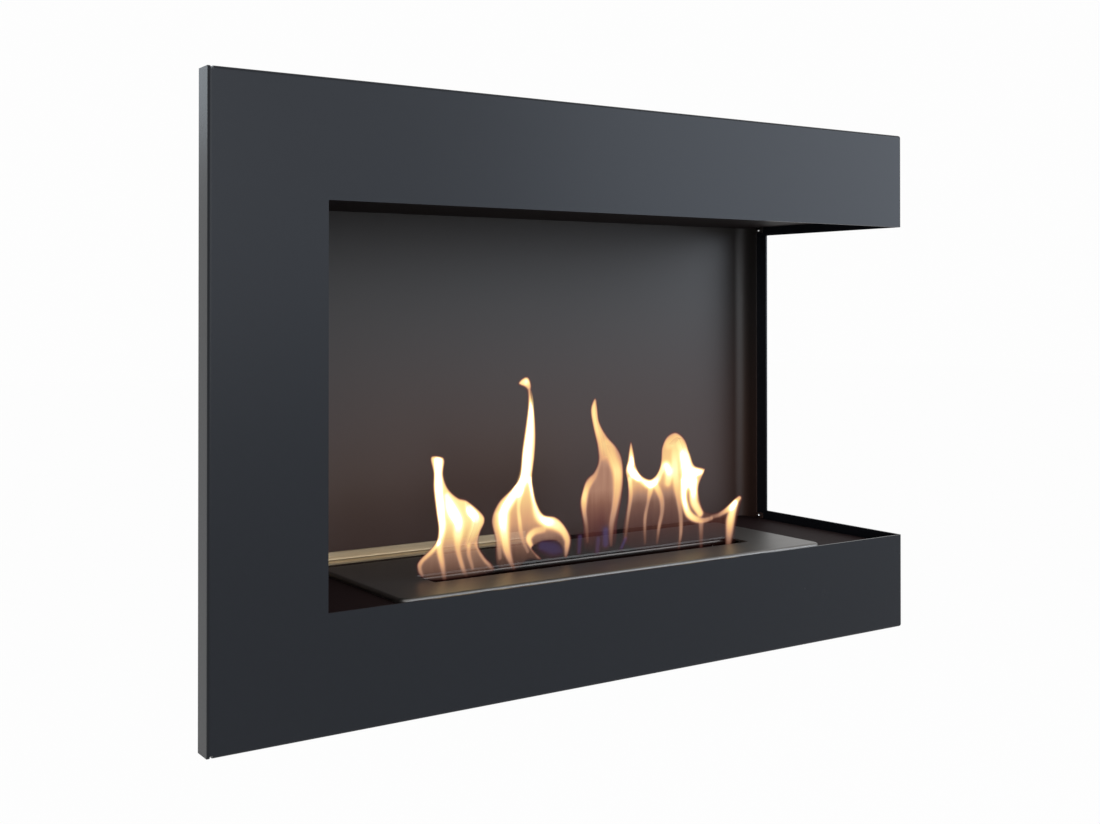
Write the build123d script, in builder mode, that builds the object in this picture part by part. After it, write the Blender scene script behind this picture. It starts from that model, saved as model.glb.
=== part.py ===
"""Wall-hung corner bioethanol fireplace: a folded steel frame that is open at the front and at the
right-hand side, a sheet-steel liner box behind it, a lift-out burner and its hanging rails.

All sizes are in millimetres. X runs to the right along the front, Y from the room towards the wall
and Z up. The origin is the middle of the underside of the overall box.
"""

import os

from build123d import *

# ---------------------------------------------------------------- driving dimensions
# Overall
width = 584.0
height = 400.0

# Folded frame
frame_sheet = 1.5
frame_bend = 2.0  # outside radius of its folds
return_depth = 16.0  # folded edges behind the faces
stile_width = 75.5  # upright at the left of the front window
band_height = 74.7  # top and bottom bands
side_window_depth = 158.0  # front face to the rear edge of the side window
corner_relief = 1.8  # slot between two folded edges that meet square at a corner
mitre_slit = 0.8  # slit between the front and the side folded edges

# Liner box
liner_sheet = 1.2
liner_recess = 7.6  # the box is this much larger than the window on every side
firebox_depth = 188.0  # front face to the face of the back panel
wall_gap = 10.8  # back panel to the wall
corner_bend = 10.0  # inside radius of the back panel's upright folds
fold_bend = 1.0  # inside radius of every other fold
side_flange = 18.0  # back panel's folded sides
ear_reach = 8.0  # ears at the foot and the head of those sides
ear_height = 4.8
pan_flange = 12.0  # folded edges of the ceiling and of the hearth
stile_flange = 14.0  # folded edge of the left panel behind the stile
joint_gap = 0.5  # between sheets that meet edge to edge
cover_flange = 14.0
vent_length = 38.0  # slots in the top cover
vent_width = 5.0
vent_pitch = 52.0
vent_count = 8
vent_inset = 30.0  # rear of the box to the row of slots

# Burner
burner_front_gap = 26.0  # front face to the burner plate
burner_offset = 4.0  # the burner sits this much right of the middle of the box
plate_sheet = 1.5
plate_height = 3.5  # with its folded edges, which stand on the hearth
plate_corner = 7.0
plate_bend = 2.2
slot_length = 290.0
slot_width = 29.0
slot_end_margin = 45.0  # slot to the ends of the plate
slot_front_margin = 36.6  # slot to its front edge
slot_rear_margin = 62.9  # and to its rear edge, with the open damper under it
slot_corner = 2.5
tank_sheet = 1.2
tank_end_margin = 12.0  # plate edge to the tank's wall at the two ends
tank_side_margin = 11.5  # and along the two sides
tank_rim = 5.0
tank_corner = 12.0
tank_clearance = 2.0  # tank wall to the hearth's cut-out
tank_floor_gap = 6.0  # tank to the bottom cover
wool_clearance = 0.5
wool_height = 38.0
screen_sheet = 1.0
screen_edge = 8.0
screen_columns = 12
screen_rows = 3
screen_land = 5.0  # metal left between the diamond holes

# Damper under the plate, and its guides
damper_sheet = 1.2
damper_overlap = 8.0  # past the slot on every side when it is shut
damper_lip = 8.0
damper_play = 0.3
damper_step = 1.0  # rear edge of the slot to the open damper
hook_hole_radius = 2.5
hook_hole_inset = 12.0
guide_sheet = 1.2
guide_ledge = 6.0
guide_foot = 10.0

# Stop angle behind the burner
stop_sheet = 1.2
stop_height = 7.6
stop_foot = 12.0
stop_length = 260.0

# Hanging rails and buffers
rail_sheet = 2.0
rail_bend = 0.5
rail_length = 400.0
rail_drop = 18.0  # row of holes to the lower edge of the wall rail
hanger_drop = 8.0  # and to the lower edge of the hanger rail
rail_rise = 12.0  # row of holes to the top of the wall rail's step
rail_lip = 14.0
lip_play = 1.0
hook_overlap = 11.0
bolt_count = 3
bolt_inset = 40.0  # end of the rail to the first bolt
wall_hole_spacing = 240.0
wall_hole_radius = 3.25
buffer_radius = 10.0
buffer_taper = 1.5
buffer_inset = 40.0
buffer_height = 30.0  # underside to the middle of a buffer

# Fasteners
hole_play = 0.3  # round a stud or a bolt in a sheet
thread_play = 0.05  # round it in its nut
stud_radius = 2.0
stud_length = 7.0
stud_count = 2
stud_inset = 45.0  # end of the left panel to the first stud
nut_flats = 7.0
nut_height = 3.2
nut_space = 5.5  # ceiling's folded edge to the middle of the hanger rail's nuts
bolt_head_height = 2.6
bolt_length = 8.0
ear_stud_radius = 1.0
ear_stud_length = 2.6
dome_radius = 1.9
dome_top_radius = 1.0
dome_height = 2.4

# ---------------------------------------------------------------- faces worked out from them
depth = firebox_depth + liner_sheet + wall_gap
left, right = -width / 2, width / 2
front, wall = -depth / 2, depth / 2
window_left = left + stile_width
window_low, window_high = band_height, height - band_height

box_left = window_left - liner_recess
box_right = right - frame_sheet
box_front = front + frame_sheet
box_back = front + firebox_depth
back_rear = box_back + liner_sheet
flange_start = box_back - side_flange
pan_back = flange_start - joint_gap
floor_top = window_low - liner_recess
ceiling_low = window_high + liner_recess
cover_top = frame_sheet + liner_sheet  # inside face of the bottom cover
panel_low = cover_top + fold_bend + joint_gap  # upright panels end clear of the covers' folds
side_outside = box_left - liner_sheet
fold_outside = fold_bend + liner_sheet

burner_length = slot_length + 2 * slot_end_margin
burner_width = slot_front_margin + slot_width + slot_rear_margin
burner_x = (box_left + box_right) / 2 + burner_offset
burner_front = front + burner_front_gap
burner_y = burner_front + burner_width / 2
plate_top = floor_top + plate_height
plate_low = plate_top - plate_sheet
slot_y = burner_front + slot_front_margin + slot_width / 2
slot_back = slot_y + slot_width / 2
tank_length = burner_length - 2 * tank_end_margin
tank_width = burner_width - 2 * tank_side_margin
tank_low = cover_top + tank_floor_gap
wool_low = tank_low + tank_sheet
wool_top = wool_low + wool_height

middle = Plane.XY.offset(height / 2)
upwards = (Align.CENTER, Align.CENTER, Align.MIN)
downwards = (Align.CENTER, Align.CENTER, Align.MAX)


def spread(count, start, end):
    """Evenly spaced places from start to end."""
    return [start + (end - start) * step / (count - 1) for step in range(count)]


def seats_along_y(places, y, direction=1):
    """Seats of fasteners that point along Y, one at each x and z."""
    return [Plane((x, y, z), x_dir=(1, 0, 0), z_dir=(0, direction, 0)) for x, z in places]


def seats_along_x(places, x, direction=-1):
    """Seats of fasteners that point along X, one at each y and z."""
    return [Plane((x, y, z), x_dir=(0, 1, 0), z_dir=(direction, 0, 0)) for y, z in places]


def lowered(seats, amount):
    """The same seats, moved back along their normals."""
    return [seat.offset(-amount) for seat in seats]


# ---------------------------------------------------------------- seats of the fasteners
stile_x = side_outside - stile_flange / 2
ear_y = flange_start - ear_reach / 2
ear_row = floor_top + ear_height / 2
rail_row = ceiling_low + liner_sheet + pan_flange + nut_space

stile_studs = seats_along_y(
    [(stile_x, z) for z in spread(stud_count, panel_low + stud_inset, height - panel_low - stud_inset)],
    box_front,
)
ear_places = [(ear_y, ear_row), (ear_y, height - ear_row)]
ear_seats = seats_along_x(ear_places, box_right) + seats_along_x(ear_places, box_left, direction=1)
bolt_places = [
    (x, rail_row)
    for x in spread(bolt_count, bolt_inset - rail_length / 2, rail_length / 2 - bolt_inset)
]
bolt_seats = seats_along_y(bolt_places, back_rear + rail_sheet)
wall_holes = seats_along_y(
    [(side * wall_hole_spacing / 2, rail_row) for side in (-1, 1)], wall
)
buffer_seats = seats_along_y(
    [(x, buffer_height) for x in (box_left + buffer_inset, box_right - buffer_inset)], back_rear
)

# ---------------------------------------------------------------- frame
# One sheet, folded round the front right corner, with folded edges behind its faces. The upright
# folded edges at its two ends run the full height, and the top and bottom ones stop short of them.
with BuildPart() as front_frame:
    with BuildSketch(Plane.XY):
        with Locations((left, front)):
            Rectangle(width, return_depth, align=Align.MIN)
        with Locations((right - return_depth, front)):
            Rectangle(return_depth, depth, align=Align.MIN)
    extrude(amount=height)
    open_faces = [
        front_frame.faces().filter_by(Axis.Y).sort_by(Axis.Y)[1],
        front_frame.faces().filter_by(Axis.X).sort_by(Axis.X)[1],
    ]
    inner_edges = [edge for face in open_faces for edge in face.edges()]
    end_edges = (
        front_frame.edges().filter_by(Axis.Y).group_by(Axis.X)[0]
        + front_frame.edges().filter_by(Axis.X).group_by(Axis.Y)[-1]
    )
    sharp_centres = [edge.center() for edge in inner_edges + end_edges]
    folded_edges = [edge for edge in front_frame.edges() if edge.center() not in sharp_centres]
    fillet(folded_edges, frame_bend)
    open_faces = [
        front_frame.faces().filter_by(Axis.Y).sort_by(Axis.Y)[1],
        front_frame.faces().filter_by(Axis.X).sort_by(Axis.X)[1],
    ]
    offset(amount=-frame_sheet, openings=open_faces)

    # The window runs from the stile round the corner to the rear strip.
    with BuildSketch(Plane.XY.offset(window_low)):
        with Locations((window_left, front)):
            Rectangle(width, side_window_depth, align=Align.MIN)
    extrude(amount=window_high - window_low, mode=Mode.SUBTRACT)

    # Slots where two folded edges meet square, and a slit between the front and side ones.
    for z in (0, height - frame_bend):
        with BuildSketch(Plane.XY.offset(z)):
            with Locations((left + frame_sheet, front)):
                Rectangle(corner_relief, return_depth, align=Align.MIN)
            with Locations((right - return_depth, wall - frame_sheet - corner_relief)):
                Rectangle(return_depth, corner_relief, align=Align.MIN)
            with Locations((right - return_depth / 2, front + return_depth / 2)):
                Rectangle(2 * return_depth, mitre_slit, rotation=-45)
        extrude(amount=frame_bend, mode=Mode.SUBTRACT)
front_frame.part.label = "front_frame"

# ---------------------------------------------------------------- upright liner panels
with BuildPart() as back_panel:
    with BuildSketch(Plane.XY.offset(panel_low)):
        with BuildLine():
            FilletPolyline(
                (box_left, flange_start),
                (box_left, back_rear),
                (box_right, back_rear),
                (box_right, flange_start),
                radius=corner_bend + liner_sheet,
            )
            offset(amount=liner_sheet, side=Side.RIGHT)
        make_face()
    extrude(amount=height - 2 * panel_low)

    # Ears at the foot and the head of each folded side, inside the firebox.
    for x, reach in ((box_left, liner_sheet), (box_right, -liner_sheet)):
        with BuildSketch(Plane.YZ.offset(x)):
            with Locations(*[(flange_start, z) for y, z in ear_places]):
                Rectangle(2 * ear_reach, ear_height)
        extrude(amount=reach)
    with Locations(*ear_seats):
        Cylinder(
            ear_stud_radius + hole_play, liner_sheet, align=upwards, mode=Mode.SUBTRACT
        )
    with Locations(*lowered(bolt_seats, rail_sheet)):
        Cylinder(stud_radius + hole_play, liner_sheet, align=downwards, mode=Mode.SUBTRACT)
back_panel.part.label = "back_panel"

with BuildPart() as left_panel:
    with BuildSketch(Plane.XY.offset(panel_low)):
        with BuildLine():
            FilletPolyline(
                (side_outside - stile_flange, box_front),
                (box_left, box_front),
                (box_left, back_rear),
                radius=fold_outside,
            )
            offset(amount=liner_sheet, side=Side.LEFT)
        make_face()
    extrude(amount=height - 2 * panel_low)
    with Locations(*stile_studs):
        Cylinder(stud_radius + hole_play, liner_sheet, align=upwards, mode=Mode.SUBTRACT)
left_panel.part.label = "left_panel"

# ---------------------------------------------------------------- hearth and ceiling
# Both are the same pan: a sheet with folded edges on four sides, its rear corners rounded to lie
# inside the folds of the back panel.
rear_inset = liner_sheet + corner_bend
with BuildPart() as pan:
    with BuildSketch(Plane.XZ.offset(-pan_back)):
        with BuildLine():
            FilletPolyline(
                (box_left, floor_top - liner_sheet - pan_flange),
                (box_left, floor_top),
                (box_right, floor_top),
                (box_right, floor_top - liner_sheet - pan_flange),
                radius=fold_outside,
            )
            offset(amount=liner_sheet, side=Side.RIGHT)
        make_face()
    extrude(amount=pan_back - box_front - fold_outside)
    with BuildSketch(Plane.YZ.offset(box_left + fold_outside)):
        with BuildLine():
            FilletPolyline(
                (box_front, floor_top - liner_sheet - pan_flange),
                (box_front, floor_top),
                (box_front + 2 * fold_outside, floor_top),
                radius=fold_outside,
            )
            offset(amount=liner_sheet, side=Side.RIGHT)
        make_face()
    extrude(amount=box_right - box_left - 2 * fold_outside)
    with BuildSketch(Plane.YZ.offset(box_left + rear_inset)):
        with BuildLine():
            FilletPolyline(
                (pan_back - fold_outside, floor_top),
                (box_back, floor_top),
                (box_back, floor_top - liner_sheet - pan_flange),
                radius=fold_outside,
            )
            offset(amount=liner_sheet, side=Side.RIGHT)
        make_face()
    extrude(amount=box_right - box_left - 2 * rear_inset)
    with BuildSketch(Plane.XY.offset(floor_top)):
        with Locations((box_left + liner_sheet, pan_back - fold_outside)):
            rear_sheet = Rectangle(
                box_right - box_left - 2 * liner_sheet,
                box_back - pan_back + fold_outside,
                align=Align.MIN,
            )
        fillet(rear_sheet.vertices().group_by(Axis.Y)[-1], corner_bend)
        with Locations((box_left + rear_inset, box_back - fold_outside)):
            Rectangle(
                box_right - box_left - 2 * rear_inset,
                fold_outside,
                align=Align.MIN,
                mode=Mode.SUBTRACT,
            )
    extrude(amount=-liner_sheet)

with BuildPart() as hearth_tray:
    add(pan.part)
    with BuildSketch(Plane.XY.offset(floor_top)):
        with Locations((burner_x, burner_y)):
            RectangleRounded(
                tank_length + 2 * tank_clearance,
                tank_width + 2 * tank_clearance,
                tank_corner + tank_clearance,
            )
    extrude(amount=-liner_sheet, mode=Mode.SUBTRACT)
hearth_tray.part.label = "hearth_tray"

with BuildPart() as ceiling_panel:
    mirror(pan.part, about=middle)
ceiling_panel.part.label = "ceiling_panel"

# ---------------------------------------------------------------- covers
# Each lies inside the folded edges of the frame, with a folded edge behind and one at the left.
cover_left = side_outside - liner_sheet
cover_right = box_right - joint_gap
cover_front = box_front + joint_gap
cover_rear = back_rear + liner_sheet
with BuildPart() as bottom_cover:
    with BuildSketch(Plane.XY.offset(frame_sheet)):
        with Locations((cover_left + fold_outside, cover_front)):
            Rectangle(
                cover_right - cover_left - fold_outside,
                cover_rear - cover_front - fold_outside,
                align=Align.MIN,
            )
    extrude(amount=liner_sheet)
    with BuildSketch(Plane.YZ.offset(cover_left + fold_outside)):
        with BuildLine():
            FilletPolyline(
                (cover_rear - 2 * fold_outside, frame_sheet),
                (cover_rear, frame_sheet),
                (cover_rear, cover_top + cover_flange),
                radius=fold_outside,
            )
            offset(amount=liner_sheet, side=Side.LEFT)
        make_face()
    extrude(amount=cover_right - cover_left - fold_outside)
    with BuildSketch(Plane.XZ.offset(-box_front - stile_flange)):
        with BuildLine():
            FilletPolyline(
                (cover_left + 2 * fold_outside, frame_sheet),
                (cover_left, frame_sheet),
                (cover_left, cover_top + cover_flange),
                radius=fold_outside,
            )
            offset(amount=liner_sheet, side=Side.RIGHT)
        make_face()
    extrude(amount=-(cover_rear - fold_outside - box_front - stile_flange))
bottom_cover.part.label = "bottom_cover"

with BuildPart() as top_cover:
    mirror(bottom_cover.part, about=middle)
    with BuildSketch(Plane.XY.offset(height - frame_sheet)):
        with Locations(((box_left + box_right) / 2, box_back - vent_inset)):
            with GridLocations(vent_pitch, 1, vent_count, 1):
                Rectangle(vent_length, vent_width)
    extrude(amount=-liner_sheet, mode=Mode.SUBTRACT)
top_cover.part.label = "top_cover"

# ---------------------------------------------------------------- stop angle on the hearth
stop_outside = fold_bend + stop_sheet
with BuildPart() as burner_stop:
    with BuildSketch(Plane.YZ.offset(box_left + rear_inset + joint_gap)):
        with BuildLine():
            FilletPolyline(
                (box_back - stop_foot, floor_top),
                (box_back, floor_top),
                (box_back, floor_top + stop_height),
                radius=stop_outside,
            )
            offset(amount=stop_sheet, side=Side.LEFT)
        make_face()
    extrude(amount=stop_length)
burner_stop.part.label = "burner_stop"

# ---------------------------------------------------------------- burner
with BuildPart() as burner_plate:
    with BuildSketch(Plane.XY.offset(floor_top)):
        with Locations((burner_x, burner_y)):
            RectangleRounded(burner_length, burner_width, plate_corner)
    extrude(amount=plate_height)
    fillet(burner_plate.edges().group_by(Axis.Z)[-1], plate_bend)
    with BuildSketch(Plane.XY.offset(floor_top)):
        with Locations((burner_x, burner_y)):
            RectangleRounded(
                burner_length - 2 * plate_sheet,
                burner_width - 2 * plate_sheet,
                plate_corner - plate_sheet,
            )
    extrude(amount=plate_low - floor_top, mode=Mode.SUBTRACT)
    with BuildSketch(Plane.XY.offset(plate_top)):
        with Locations((burner_x, slot_y)):
            RectangleRounded(slot_length, slot_width, slot_corner)
    extrude(amount=-plate_sheet, mode=Mode.SUBTRACT)
burner_plate.part.label = "burner_plate"

with BuildPart() as burner_tank:
    with BuildSketch(Plane.XY.offset(tank_low)):
        with Locations((burner_x, burner_y)):
            RectangleRounded(tank_length, tank_width, tank_corner)
    extrude(amount=plate_low - tank_low)
    offset(amount=-tank_sheet, openings=burner_tank.faces().sort_by(Axis.Z)[-1])
    with BuildSketch(Plane.XY.offset(plate_low)):
        with Locations((burner_x, burner_y)):
            RectangleRounded(
                tank_length + 2 * tank_rim, tank_width + 2 * tank_rim, tank_corner + tank_rim
            )
            RectangleRounded(
                tank_length - 2 * tank_sheet,
                tank_width - 2 * tank_sheet,
                tank_corner - tank_sheet,
                mode=Mode.SUBTRACT,
            )
    extrude(amount=-tank_sheet)
burner_tank.part.label = "burner_tank"

filling_length = tank_length - 2 * tank_sheet - 2 * wool_clearance
filling_width = tank_width - 2 * tank_sheet - 2 * wool_clearance
filling_corner = tank_corner - tank_sheet - wool_clearance
with BuildPart() as ceramic_wool:
    with BuildSketch(Plane.XY.offset(wool_low)):
        with Locations((burner_x, burner_y)):
            RectangleRounded(filling_length, filling_width, filling_corner)
    extrude(amount=wool_height)
ceramic_wool.part.label = "ceramic_wool"

hole_pitch_x = (filling_length - 2 * screen_edge) / screen_columns
hole_pitch_y = (filling_width - 2 * screen_edge) / screen_rows
with BuildPart() as wool_screen:
    with BuildSketch(Plane.XY.offset(wool_top)):
        with Locations((burner_x, burner_y)):
            RectangleRounded(filling_length, filling_width, filling_corner)
    extrude(amount=screen_edge)
    offset(amount=-screen_sheet, openings=wool_screen.faces().sort_by(Axis.Z)[-1])
    with BuildSketch(Plane.XY.offset(wool_top)):
        with Locations((burner_x, burner_y)):
            with GridLocations(hole_pitch_x, hole_pitch_y, screen_columns, screen_rows):
                RegularPolygon(min(hole_pitch_x, hole_pitch_y) / 2 - screen_land / 2, 4)
    extrude(amount=screen_sheet, mode=Mode.SUBTRACT)
wool_screen.part.label = "wool_screen"

# ---------------------------------------------------------------- damper and guides
damper_top = plate_low - damper_play
damper_low = damper_top - damper_sheet
damper_front = slot_back + damper_step
damper_width = slot_width + 2 * damper_overlap
damper_length = slot_length + 2 * damper_overlap
damper_travel = slot_width + damper_step + damper_overlap
damper_outside = fold_bend + damper_sheet
lip_length = damper_length - 2 * guide_ledge - 2 * lip_play
with BuildPart() as damper:
    with BuildSketch(Plane.XY.offset(damper_top)):
        with Locations((burner_x, damper_front + damper_outside)):
            Rectangle(
                damper_length,
                damper_width - damper_outside,
                align=(Align.CENTER, Align.MIN),
            )
    extrude(amount=-damper_sheet)
    with BuildSketch(Plane.YZ.offset(burner_x - lip_length / 2)):
        with BuildLine():
            FilletPolyline(
                (damper_front, damper_top - damper_lip),
                (damper_front, damper_top),
                (damper_front + 2 * damper_outside, damper_top),
                radius=damper_outside,
            )
            offset(amount=damper_sheet, side=Side.RIGHT)
        make_face()
    extrude(amount=lip_length)
    hook_place = (burner_x + lip_length / 2 - hook_hole_inset, damper_low - damper_lip / 2)
    with Locations(*seats_along_y([hook_place], damper_front)):
        Cylinder(hook_hole_radius, damper_sheet, align=upwards, mode=Mode.SUBTRACT)
damper.part.label = "damper"

guide_front = damper_front - damper_travel - damper_play - guide_sheet
guide_back = damper_front + damper_width + damper_play + guide_sheet
ledge_low = damper_low - damper_play - guide_sheet
web_x = damper_length / 2 + damper_play
with BuildPart() as damper_guides:
    with BuildSketch(Plane.XZ.offset(-guide_back)):
        with BuildLine():
            Polyline(
                (burner_x - web_x + damper_play + guide_ledge, ledge_low),
                (burner_x - web_x - guide_sheet, ledge_low),
                (burner_x - web_x - guide_sheet, plate_low - guide_sheet),
                (burner_x - web_x - guide_sheet - guide_foot, plate_low - guide_sheet),
                (burner_x - web_x - guide_sheet - guide_foot, plate_low),
                (burner_x - web_x, plate_low),
                (burner_x - web_x, ledge_low + guide_sheet),
                (burner_x - web_x + damper_play + guide_ledge, ledge_low + guide_sheet),
                close=True,
            )
        make_face()
    extrude(amount=guide_back - guide_front)
    for y in (guide_front, guide_back - guide_sheet):
        with BuildSketch(Plane.XY.offset(ledge_low)):
            with Locations((burner_x - web_x, y)):
                Rectangle(damper_play + guide_ledge, guide_sheet, align=Align.MIN)
        extrude(amount=damper_top - ledge_low)
    mirror(about=Plane.YZ.offset(burner_x))
damper_guides.part.label = "damper_guides"

# ---------------------------------------------------------------- hanging rails and buffers
rail_outside = rail_bend + rail_sheet
lip_rear = wall - 2 * lip_play - rail_sheet
step_top = rail_row + rail_rise
hook_top = step_top + rail_lip + rail_sheet
with BuildPart() as wall_rail:
    with BuildSketch(Plane.YZ.offset(-rail_length / 2)):
        with BuildLine():
            FilletPolyline(
                (wall, rail_row - rail_drop),
                (wall, step_top),
                (lip_rear, step_top),
                (lip_rear, step_top + rail_lip),
                radius=[rail_outside, rail_bend],
            )
            offset(amount=rail_sheet, side=Side.LEFT)
        make_face()
    extrude(amount=rail_length)
    with Locations(*wall_holes):
        Cylinder(wall_hole_radius, rail_sheet, align=downwards, mode=Mode.SUBTRACT)
wall_rail.part.label = "wall_rail"

with BuildPart() as hanger_rail:
    with BuildSketch(Plane.YZ.offset(-rail_length / 2)):
        with BuildLine():
            FilletPolyline(
                (back_rear, rail_row - hanger_drop),
                (back_rear, hook_top),
                (wall - lip_play, hook_top),
                (wall - lip_play, step_top + rail_lip - hook_overlap),
                radius=rail_outside,
            )
            offset(amount=rail_sheet, side=Side.RIGHT)
        make_face()
    extrude(amount=rail_length)
    with Locations(*bolt_seats):
        Cylinder(stud_radius + hole_play, rail_sheet, align=downwards, mode=Mode.SUBTRACT)
hanger_rail.part.label = "hanger_rail"

with BuildPart() as wall_buffers:
    with Locations(*buffer_seats):
        Cone(buffer_radius, buffer_radius - buffer_taper, wall_gap, align=upwards)
wall_buffers.part.label = "wall_buffers"

# ---------------------------------------------------------------- fasteners
# One of each kind is made at the origin with its seat at zero, then set on its seats.
with BuildPart() as nut:
    with BuildSketch():
        RegularPolygon(nut_flats / 2, 6, major_radius=False)
        Circle(stud_radius + thread_play, mode=Mode.SUBTRACT)
    extrude(amount=nut_height)

with BuildPart() as bolt:
    with BuildSketch():
        RegularPolygon(nut_flats / 2, 6, major_radius=False)
    extrude(amount=bolt_head_height)
    Cylinder(stud_radius, bolt_length, align=downwards)

with BuildPart() as dome:
    Cone(dome_radius, dome_top_radius, dome_height, align=upwards)
    Cylinder(
        ear_stud_radius + thread_play,
        ear_stud_length - liner_sheet,
        align=upwards,
        mode=Mode.SUBTRACT,
    )

with BuildPart() as weld_studs:
    with Locations(*stile_studs):
        Cylinder(stud_radius, stud_length, align=upwards)
weld_studs.part.label = "weld_studs"

with BuildPart() as ear_studs:
    with Locations(*ear_seats):
        Cylinder(ear_stud_radius, ear_stud_length, align=upwards)
ear_studs.part.label = "ear_studs"

with BuildPart() as dome_nuts:
    with Locations(*lowered(ear_seats, -liner_sheet)):
        add(dome.part)
dome_nuts.part.label = "dome_nuts"

with BuildPart() as hanger_bolts:
    with Locations(*bolt_seats):
        add(bolt.part)
hanger_bolts.part.label = "hanger_bolts"

with BuildPart() as hex_nuts:
    with Locations(
        *lowered(stile_studs, -liner_sheet), *seats_along_y(bolt_places, box_back, direction=-1)
    ):
        add(nut.part)
hex_nuts.part.label = "hex_nuts"

# ---------------------------------------------------------------- write every piece
pieces = [
    front_frame,
    back_panel,
    left_panel,
    hearth_tray,
    ceiling_panel,
    bottom_cover,
    top_cover,
    burner_stop,
    burner_plate,
    burner_tank,
    ceramic_wool,
    wool_screen,
    damper,
    damper_guides,
    wall_rail,
    hanger_rail,
    wall_buffers,
    weld_studs,
    ear_studs,
    dome_nuts,
    hanger_bolts,
    hex_nuts,
]
os.makedirs("parts", exist_ok=True)
for piece in pieces:
    export_step(piece.part, f"parts/{piece.part.label}.step")
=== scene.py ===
"""Looks of the wall-hung corner bioethanol fireplace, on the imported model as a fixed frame.

Everything is in the model's own frame: X to the right along the front, Y towards the wall, Z up, and in
metres where no comment says mm. New pieces are the flames and the polished domes of the small nuts; the
floor is only stage.
"""

import bmesh
import bpy
import numpy as np
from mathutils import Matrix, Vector


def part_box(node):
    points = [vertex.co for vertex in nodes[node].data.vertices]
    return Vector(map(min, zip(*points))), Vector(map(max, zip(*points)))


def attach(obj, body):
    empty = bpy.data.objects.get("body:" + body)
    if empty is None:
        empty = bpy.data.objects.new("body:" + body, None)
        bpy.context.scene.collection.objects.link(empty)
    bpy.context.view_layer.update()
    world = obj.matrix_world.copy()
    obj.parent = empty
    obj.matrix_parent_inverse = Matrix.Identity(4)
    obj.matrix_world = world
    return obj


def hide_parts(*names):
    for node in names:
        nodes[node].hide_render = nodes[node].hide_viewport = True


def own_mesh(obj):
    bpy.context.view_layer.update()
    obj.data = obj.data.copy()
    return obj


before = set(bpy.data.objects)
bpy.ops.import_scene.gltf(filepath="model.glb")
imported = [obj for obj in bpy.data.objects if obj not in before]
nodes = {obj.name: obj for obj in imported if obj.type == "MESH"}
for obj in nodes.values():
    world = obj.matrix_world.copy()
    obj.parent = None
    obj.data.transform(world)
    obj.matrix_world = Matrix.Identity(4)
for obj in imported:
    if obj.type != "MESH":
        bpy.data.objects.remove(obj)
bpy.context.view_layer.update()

collection = bpy.context.scene.collection
millimetre = 0.001

# ---------------------------------------------------------------- picture and camera
picture_width, picture_height = 1100, 824  # pixels
sensor_width = 36.0  # mm
focal_pixels = 1355.3
eye = Vector((-0.5662, -0.8554, 0.2605))  # the camera's place
sight = Vector((0.5598, 0.8285, 0.00586))  # the way it looks
centre_column, centre_row = 548.4, 298.7  # pixel that the sight line goes through

# ---------------------------------------------------------------- stage and light
floor_drop = 0.6  # underside of the fireplace to the floor
floor_size = 30.0
floor_share_white = 0.97  # the rest of the floor's look is its own paint, which takes the soft shadow
backdrop_white = 0.985  # about what the floor comes to far away, so that no horizon shows
ambient = 0.40  # the even light's strength on the object

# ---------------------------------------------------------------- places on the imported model
liner_sheet = 1.2 * millimetre  # the firebox's steel
firebox_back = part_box("back_panel")[1].y - liner_sheet / 2  # between the panel's two faces
firebox_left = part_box("left_panel")[1].x - liner_sheet / 2
damper_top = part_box("damper")[1].z
screen_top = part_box("wool_screen")[1].z
slot_plane = -0.0229  # middle of the slot, along Y


# ---------------------------------------------------------------- node helpers
class NodeTree:
    """Short calls for adding and joining the nodes of a tree."""

    def __init__(self, tree):
        self.tree = tree

    def add(self, kind, **settings):
        """Adds a node and sets its properties."""
        node = self.tree.nodes.new(kind)
        for key, value in settings.items():
            setattr(node, key, value)
        return node

    def join(self, source, target):
        self.tree.links.new(source, target)

    def feed(self, value, target):
        """Gives a socket a number, or joins another socket to it."""
        if isinstance(value, (int, float)):
            target.default_value = value
        else:
            self.join(value, target)

    def maths(self, operation, *values, clamp=False):
        """One step of arithmetic on numbers and sockets, which gives the socket of its result."""
        node = self.add("ShaderNodeMath", operation=operation, use_clamp=clamp)
        for target, value in zip(node.inputs, values):
            self.feed(value, target)
        return node.outputs[0]

    def noise(self, place, scale, detail):
        """A noise texture at a place."""
        texture = self.add("ShaderNodeTexNoise")
        self.join(place, texture.inputs["Vector"])
        self.feed(scale, texture.inputs["Scale"])
        self.feed(detail, texture.inputs["Detail"])
        return texture

    def studio_rays(self):
        """1 for rays of the camera, of gloss and through glass, which see the white studio, or else 0."""
        path = self.add("ShaderNodeLightPath").outputs
        seen = self.maths("ADD", path["Is Camera Ray"], path["Is Glossy Ray"])
        return self.maths("ADD", seen, path["Is Transmission Ray"], clamp=True)


class Shader(NodeTree):
    """A material with its node tree."""

    def __init__(self, name):
        self.material = bpy.data.materials.new(name)
        self.material.use_nodes = True
        super().__init__(self.material.node_tree)
        self.surface = self.tree.nodes["Principled BSDF"]

    def group(self, tree, **values):
        """Places a node group on Object coordinates, with its own values."""
        node = self.add("ShaderNodeGroup", node_tree=tree)
        for key, value in values.items():
            node.inputs[key].default_value = value
        self.join(self.coordinates(), node.inputs["Vector"])
        return node

    def coordinates(self):
        return self.add("ShaderNodeTexCoord").outputs["Object"]

    def emboss(self, height, distance):
        """Turns a height into a bump of the surface."""
        relief = self.add("ShaderNodeBump")
        relief.inputs["Distance"].default_value = distance
        self.join(height, relief.inputs["Height"])
        self.join(relief.outputs["Normal"], self.surface.inputs["Normal"])


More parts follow.
